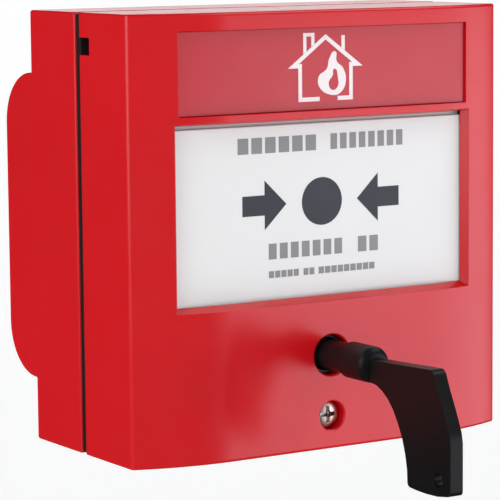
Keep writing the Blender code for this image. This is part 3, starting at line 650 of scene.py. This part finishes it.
def make_back_box():
    screw_place = (0, SCREW_Z)
    box = prism("back_box_shell", box_section(0), along_x, -HALF, HALF)
    weigh_edges(box, box_edge_share)
    bevel_by_weight(box, BOX_ROUND, 5)
    inner = HALF - BOX_WALL
    combine(box, "DIFFERENCE", prism("hollow", box_section(BOX_WALL), along_x, -inner, inner))
    combine(box, "UNION", rod("boss", screw_place, *SCREW_BOSS))
    tools = [rod("pocket", screw_place, *INSERT_POCKET), rod("relief", screw_place, *SHANK_RELIEF),
             rod("cable_hole", (0, CABLE_HOLE_Z), BOX_WALL_CUT, CABLE_HOLE, 64)]
    for side in (-1, 1):
        reach = HOOK_HALF_W + HOOK_SIDE_GAP
        tools.append(block("hook_room", (side * HOOK_X - reach, side * HOOK_X + reach), *HOOK_ROOM))
        slot = (arc((side * SLOT_X + SLOT_REACH, 0), SLOT_RADIUS, -90, 90, 16)
                + arc((side * SLOT_X - SLOT_REACH, 0), SLOT_RADIUS, 90, 270, 16))
        tools.append(prism("slot", slot, along_depth, *BOX_WALL_CUT))
    combine(box, "DIFFERENCE", *tools)
    smooth(box)
    place_piece(box, "housing", "wall_box", "red_housing", "back_box")


# ---------------------------------------------------------------- panel, plate and their printing

def flat_pieces(name, outlines, depth):
    """One object of flat printed shapes, each an outline in (x, z), just in front of depth."""
    bm = bmesh.new()
    for outline in outlines:
        extrude(bm, outline, along_depth, depth - PRINT_THICK, depth)
    return new_object(name, bm)


def band(points, width):
    """Outline of a line of constant width through the points, with mitred corners."""
    left, right = [], []
    for index, point in enumerate(points):
        here = Vector(point)
        before = (here - Vector(points[index - 1])).normalized() if index else None
        after = (Vector(points[index + 1]) - here).normalized() if index < len(points) - 1 else None
        first = before or after
        second = after or before
        normal = Vector((-first.y - second.y, first.x + second.x)).normalized()
        reach = width / 2 / max(MITRE_LIMIT, normal.dot(Vector((-first.y, first.x))))
        left.append(tuple(here + normal * reach))
        right.append(tuple(here - normal * reach))
    return left + right[::-1]


def filled_curve(name, loops, depth):
    """Smooth filled shape from closed Bezier loops of (x, z), where inner loops are holes."""
    curve = bpy.data.curves.new(name, "CURVE")
    curve.dimensions = "2D"
    curve.fill_mode = "BOTH"
    curve.extrude = PRINT_THICK / 2 * MM
    curve.resolution_u = 10
    for loop in loops:
        spline = curve.splines.new("BEZIER")
        spline.bezier_points.add(len(loop) - 1)
        for point, (x, z) in zip(spline.bezier_points, loop):
            point.co = (x * MM, z * MM, 0)
            point.handle_left_type = point.handle_right_type = "AUTO"
        spline.use_cyclic_u = True
    flat = bpy.data.objects.new(name, curve)
    bpy.context.scene.collection.objects.link(flat)
    bpy.context.view_layer.update()
    evaluated = flat.evaluated_get(bpy.context.evaluated_depsgraph_get())
    mesh = bpy.data.meshes.new_from_object(evaluated)
    bpy.data.objects.remove(flat, do_unlink=True)
    upright = Matrix.Rotation(math.radians(90), 4, "X")
    mesh.transform(Matrix.Translation(at(0, depth - PRINT_THICK / 2, 0)) @ upright)
    bm = bmesh.new()
    bm.from_mesh(mesh)
    bmesh.ops.remove_doubles(bm, verts=bm.verts, dist=1e-7)
    return new_object(name, bm)


def mirrored(outline):
    """The same outline on the other side of x = 0, turning the same way."""
    return [(-x, z) for x, z in reversed(outline)]


def make_pictogram_panel():
    face = (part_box("pictogram_panel")[0][1] - FRONT_Y) / MM
    half, low, high = PANEL_POCKET
    panel = block("pictogram_panel_face", (PANEL_FIT - half, half - PANEL_FIT),
                  (face, face + PANEL_THICK), (low + PANEL_FIT, high - PANEL_FIT), bevel=0.12)
    smooth(panel)
    place_piece(panel, "panel", "front_unit", "red_panel", "pictogram_panel")

    stroke = 0.85
    foot, eaves, ridge, over_ridge = 26.9, 33.7, 39.4, 40.0
    wall_x, eaves_x, doorway_x = 6.2, 7.8, 2.9
    house = [(-1.5, foot), (-wall_x, foot), (-wall_x, eaves), (-eaves_x, eaves), (0.0, ridge),
             (eaves_x, eaves), (wall_x, eaves), (wall_x, foot), (doorway_x, foot)]

    def on_roof(x):
        return x, over_ridge - abs(x) * (ridge - eaves) / eaves_x

    chimney = [on_roof(-5.4), (-5.4, 40.3), (-2.7, 40.3), on_roof(-2.7),
               on_roof(-3.45), (-3.45, 39.6), (-4.65, 39.6), on_roof(-4.65)]
    vent = [on_roof(3.9), (3.9, 39.6), (4.7, 39.6), on_roof(4.7)]
    outline = flat_pieces("pictogram_house", [band(house, stroke), chimney, vent], face)
    place_piece(outline, "print_white", "front_unit", "red_panel")
    flame = [(1.5, 27.6), (-1.6, 29.4), (-1.7, 31.4), (0.3, 33.0), (0.9, 35.0), (2.3, 36.4),
             (2.7, 34.4), (4.3, 32.9), (4.9, 30.2), (3.6, 28.0)]
    heart = [(1.6, 28.6), (0.7, 30.0), (1.7, 31.6), (2.1, 32.9), (3.0, 31.0), (2.9, 29.2)]
    fire = filled_curve("pictogram_flame", [flame, heart], face)
    place_piece(fire, "print_white", "front_unit", "red_panel")


def greeked(left, right, z, characters, gap):
    """A placeholder word: plain blocks of equal width between left and right."""
    width = (right - left - gap * (characters - 1)) / characters
    starts = [left + index * (width + gap) for index in range(characters)]
    return [[(x, z[0]), (x + width, z[0]), (x + width, z[1]), (x, z[1])] for x in starts]


def make_operating_plate():
    low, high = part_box("operating_plate")
    face = (low[1] - FRONT_Y) / MM
    width = (-PLATE_HALF_W, PLATE_HALF_W)
    plate = block("operating_plate_face", width, (face, (high[1] - FRONT_Y) / MM),
                  (low[2] / MM, PLATE_TOP), bevel=0.25)
    smooth(plate)
    place_piece(plate, "plate", "plate", "white_plate", "operating_plate")
    tongue = block("operating_plate_tongue", width, [face + behind for behind in TONGUE_DEPTHS],
                   (PLATE_TOP - TONGUE_LAP, high[2] / MM), bevel=0.1)
    place_piece(smooth(tongue), "plate", "plate", "white_plate")

    symbol_z, dot_radius, dot_sides = 5.9, 4.9, 72
    tip, neck, tail, head_half, shaft_half = 8.7, 13.9, 19.2, 5.0, 2.05
    dot = arc((0, symbol_z), dot_radius, 0, 360 - 360 / dot_sides, dot_sides - 1)
    arrow = [(x, symbol_z + up) for x, up in
             ((tail, shaft_half), (neck, shaft_half), (neck, head_half), (tip, 0),
              (neck, -head_half), (neck, -shaft_half), (tail, -shaft_half))]
    marks = flat_pieces("plate_symbols", [dot, mirrored(arrow), arrow], face)
    place_piece(marks, "print_grey", "plate", "white_plate")

    # each row: its lower and upper edge, the gap between blocks, and (left, right, blocks) per word
    rows = [((16.4, 19.6), 0.75, [(-20.2, -1.4, 6), (2.2, 20.2, 8)]),
            ((-5.2, -2.0), 0.8, [(-13.0, 4.9, 7), (8.9, 13.9, 2)]),
            ((-9.0, -7.6), 0.3, [(-13.0, -5.8, 5), (-4.6, -2.0, 2), (-0.9, 13.0, 9)])]
    words = [shape for z, gap, spans in rows for left, right, count in spans
             for shape in greeked(left, right, z, count, gap)]
    lines = flat_pieces("plate_word_blocks", words, face)
    place_piece(lines, "print_light_grey", "plate", "white_plate")


# ---------------------------------------------------------------- key and screw

def make_reset_key():
    """Turned barrel and collar, with a flat handle that has rounded edges and a ring hole."""
    barrel_radius, collar_radius, collar_round, collar_front = 3.15, 3.7, 1.6, -15.8
    profile = [(0, collar_front)]
    profile += arc((collar_radius - collar_round, collar_front + collar_round), collar_round,
                   -90, 0, 10)
    profile += [(collar_radius, -7.3), (3.55, -6.9), (3.25, -6.6), (barrel_radius, -6.2),
                (barrel_radius, 5.3), (2.75, 5.7), (0, 5.7)]
    barrel = turned("reset_key_detailed", profile, 0, KEY_Z)

    # the handle's outline in depth and z: upper edge outwards, end, then lower edge back
    outer = -(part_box("reset_key")[0][1] - FRONT_Y) / MM
    handle = [(-13.0, -24.3), (-24.0, -23.9), (-35.4, -23.4)]
    handle += arc((-35.6, -25.0), 1.6, 83, 156, 6)
    handle += [(-38.4, -27.4), (-40.0, -30.6), (-41.2, -33.2), (-42.0, -35.0), (-outer, -37.0),
               (-outer, -46.2)]
    handle += arc((-outer + 1.0, -46.4), 1.0, 180, 262, 5)
    handle += [(-38.2, -47.9), (-34.8, -48.0), (-31.4, -47.9)]
    handle += arc((-29.3, -46.7), 1.0, 275, 352, 5)
    handle += [(-28.2, -44.4), (-27.6, -41.4), (-26.6, -38.4), (-25.2, -35.7), (-23.6, -33.2),
               (-21.8, -31.3), (-19.8, -29.9), (-17.7, -29.0), (-13.0, -28.5)]
    half_thick = 1.5
    blade = prism("blade", handle, along_x, -half_thick, half_thick)
    weigh_edges(blade, lambda ends: 1.0 if ends[0][0] == ends[1][0] else 0.0)
    bevel_by_weight(blade, 0.55, 4)

    ring_hole, ring_radius, ring_cut = (0, -38.4, -44.6), 1.5 * MM, 8 * MM
    hole = bmesh.new()
    place = Matrix.Translation(at(*ring_hole)) @ Matrix.Rotation(math.radians(90), 4, "Y")
    bmesh.ops.create_cone(hole, cap_ends=True, segments=48, radius1=ring_radius, radius2=ring_radius,
                          depth=ring_cut, matrix=place)
    combine(blade, "DIFFERENCE", new_object("ring_hole", hole))
    tip_half, tip_depths = 1.8, (5, 9.3)
    tip = block("tip", (-tip_half, tip_half), tip_depths, (KEY_Z - tip_half, KEY_Z + tip_half))
    combine(barrel, "UNION", blade, tip)
    smooth(barrel, 38)
    place_piece(barrel, "key", "key", "black_plastic", "reset_key")


def tube(name, points, radius, sides=10):
    """Round wire through a list of points, closed at both ends."""
    angles = [2 * math.pi * side / sides for side in range(sides)]
    bm = bmesh.new()
    rings = []
    for index, point in enumerate(points):
        ahead = points[min(index + 1, len(points) - 1)] - points[max(index - 1, 0)]
        across = ahead.cross(Vector((0, 0, 1))).normalized()
        upward = across.cross(ahead).normalized()
        rings.append([bm.verts.new(point + (across * math.cos(a) + upward * math.sin(a)) * radius)
                      for a in angles])
    for ring, after in zip(rings, rings[1:]):
        bridge(bm, ring, after)
    bm.faces.new(rings[0])
    bm.faces.new(rings[-1])
    return new_object(name, bm)


def make_return_spring(side):
    """Compression spring with closed end turns, built at one length and given its own mesh."""
    low, high = (Vector(corner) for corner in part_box(f"return_spring_{side}"))
    wire = SPRING_WIRE / 2 * MM
    centre = (low + high) / 2
    radius = (high.x - low.x) / 2 - wire
    bottom, height = low.z + wire, high.z - low.z - 2 * wire
    steps, turns, closed = 26, 7, 1.0      # steps in a turn, turns, and closed turns at each end
    points = []
    for step in range(steps * turns + 1):
        turn = step / steps
        climb = min(1.0, max(0.0, (turn - closed) / (turns - 2 * closed)))
        end_lift = min(turn, closed) + max(0.0, turn - (turns - closed))
        lift = climb * (height - 4 * wire * closed) + end_lift * 2 * wire
        angle = 2 * math.pi * turn
        points.append(Vector((centre.x + radius * math.cos(angle),
                              centre.y + radius * math.sin(angle), bottom + lift)))
    spring = smooth(tube(f"return_spring_{side}_wire", points, wire), 60, weighted=False)
    place_piece(spring, "steel", "front_unit", "steel", f"return_spring_{side}")
    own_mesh(spring)


def make_box_seal_and_groove_shade():
    """Black rubber bead that nearly fills the groove between cover and back box; its near-black fill
    also stands in for the shade deep in the groove, as painted shade.
    """
    outer, inner = (-SEAL_OUTER, SEAL_OUTER), (-SEAL_INNER, SEAL_INNER)
    depths = (COVER_REAR + SEAL_GAP, BOX_FRONT - SEAL_GAP)
    # the bead reaches almost to the outer faces, so its black fills the groove's mouth as painted
    # shade
    seal = block("box_seal_bead_groove_shade", outer, depths, outer, bevel=SEAL_ROUND)
    combine(seal, "DIFFERENCE", block("opening", inner, SEAL_CUT, inner))
    smooth(seal, 40)
    place_piece(seal, "seal", "wall_box", "black_seal", "box_seal")


def make_cover_screw():
    """Pan head with a cross recess on a plain shank."""
    head_radius, dome_rim, dome_rise, shank_radius = 2.75, 2.1, 0.5, 1.5
    dome = [(head_radius * math.sin(a), dome_rim - dome_rise * math.cos(a))
            for a in (math.radians(degrees) for degrees in range(0, 91, 10))]
    profile = [(0, dome[0][1])] + dome[1:] + [(head_radius, 3.5), (2.6, 3.7), (shank_radius, 3.7),
                                              (shank_radius, 28.2), (0.9, 28.9), (0, 28.9)]
    screw = turned("cover_screw_detailed", profile, 0, SCREW_Z)
    arm, reach, recess_floor, middle_floor, middle_radius = 0.42, 1.75, 2.9, 3.2, 0.8
    cross = [block("cross", (-arm, arm), (0, recess_floor), (SCREW_Z - reach, SCREW_Z + reach)),
             block("cross", (-reach, reach), (0, recess_floor), (SCREW_Z - arm, SCREW_Z + arm)),
             rod("cross_middle", (0, SCREW_Z), (0, middle_floor), middle_radius, 24)]
    combine(screw, "DIFFERENCE", *cross)
    smooth(screw, 35)
    place_piece(screw, "screw", "front_screw", "steel", "cover_screw")


# ---------------------------------------------------------------- camera, lights and floor

def make_camera():
    azimuth, down, roll = (math.radians(a) for a in (CAMERA_AZIMUTH, CAMERA_DOWN, CAMERA_ROLL))
    level = Vector((math.sin(azimuth), math.cos(azimuth), 0))
    forward = level * math.cos(down) - Vector((0, 0, math.sin(down)))
    right = Vector((math.cos(azimuth), -math.sin(azimuth), 0))
    up = right.cross(forward)
    turned_right = right * math.cos(roll) + up * math.sin(roll)
    turned_up = up * math.cos(roll) - right * math.sin(roll)
    data = bpy.data.cameras.new("camera")
    data.sensor_width = CAMERA_SENSOR
    data.lens = CAMERA_LENS
    data.clip_start = CAMERA_NEAR
    camera = bpy.data.objects.new("camera", data)
    bpy.context.scene.collection.objects.link(camera)
    place = Matrix((turned_right, turned_up, -forward)).transposed().to_4x4()
    place.translation = at(*CAMERA_PLACE)
    camera.matrix_world = place
    bpy.context.scene.camera = camera


def area_light(name, azimuth, elevation, distance, size, radiance, colour):
    """Rectangular light aimed at the cover's front; azimuth turns from -Y towards +X."""
    data = bpy.data.lights.new(name, "AREA")
    data.shape = "RECTANGLE"
    data.size, data.size_y = size
    data.energy = radiance * size[0] * size[1] * math.pi
    data.color = colour
    light = bpy.data.objects.new(name, data)
    bpy.context.scene.collection.objects.link(light)
    turn, lift = math.radians(azimuth), math.radians(elevation)
    level = Vector((math.sin(turn), -math.cos(turn), 0))
    away = level * math.cos(lift) + Vector((0, 0, math.sin(lift)))
    aim = away.to_track_quat("Z", "Y").to_matrix().to_4x4()
    light.matrix_world = Matrix.Translation(at(0, 0, 0) + away * distance) @ aim
    light.visible_camera = False


def make_studio():
    scene = bpy.context.scene
    scene.view_settings.view_transform = "Standard"
    world = bpy.data.worlds.new("studio")
    scene.world = world
    world.use_nodes = True
    background = world.node_tree.nodes["Background"]
    background.inputs["Color"].default_value = (*WORLD_COLOUR, 1)
    background.inputs["Strength"].default_value = WORLD_LIGHT
    world.cycles_visibility.glossy = False
    for name, (azimuth, elevation, distance), size, radiance, colour in LIGHTS:
        area_light(name, azimuth, elevation, distance, size, radiance, colour)


def make_sweep(sides=72, curve_steps=12):
    """Round floor that curves up into a wall on every side."""
    bends = [math.radians(90 * step / curve_steps) for step in range(curve_steps + 1)]
    profile = [(0.0, 0.0), (SWEEP_FLAT, 0.0)]
    profile += [(SWEEP_RADIUS - SWEEP_CURVE + SWEEP_CURVE * math.sin(a),
                 SWEEP_CURVE - SWEEP_CURVE * math.cos(a)) for a in bends]
    profile.append((SWEEP_RADIUS, SWEEP_TOP))
    bm = bmesh.new()
    rings = []
    for reach, height in profile:
        angles = [2 * math.pi * side / sides for side in range(sides if reach else 1)]
        rings.append([bm.verts.new((reach * math.cos(a), reach * math.sin(a), FLOOR_Z + height))
                      for a in angles])
    for ring, after in zip(rings, rings[1:]):
        bridge(bm, ring, after)
    sweep = new_object("pale_sweep", bm)
    sweep.data.shade_smooth()
    material, tree, shader, place = start_material(
        "pale_floor", Roughness=0.9, Specular_IOR_Level=0.0, Emission_Color=(1, 1, 1, 1),
        Emission_Strength=SWEEP_LIGHT)
    paint(tree, shader, noise(tree, place, 3.0), (0.78, 0.78, 0.78), (0.80, 0.80, 0.80))
    sweep.data.materials.append(material)
    sweep.visible_glossy = False


make_camera()
make_studio()
make_sweep()
dress_cad_nodes()
make_front_cover()
make_back_box()
make_pictogram_panel()
make_operating_plate()
make_reset_key()
make_cover_screw()
make_box_seal_and_groove_shade()
make_return_spring("left")
make_return_spring("right")
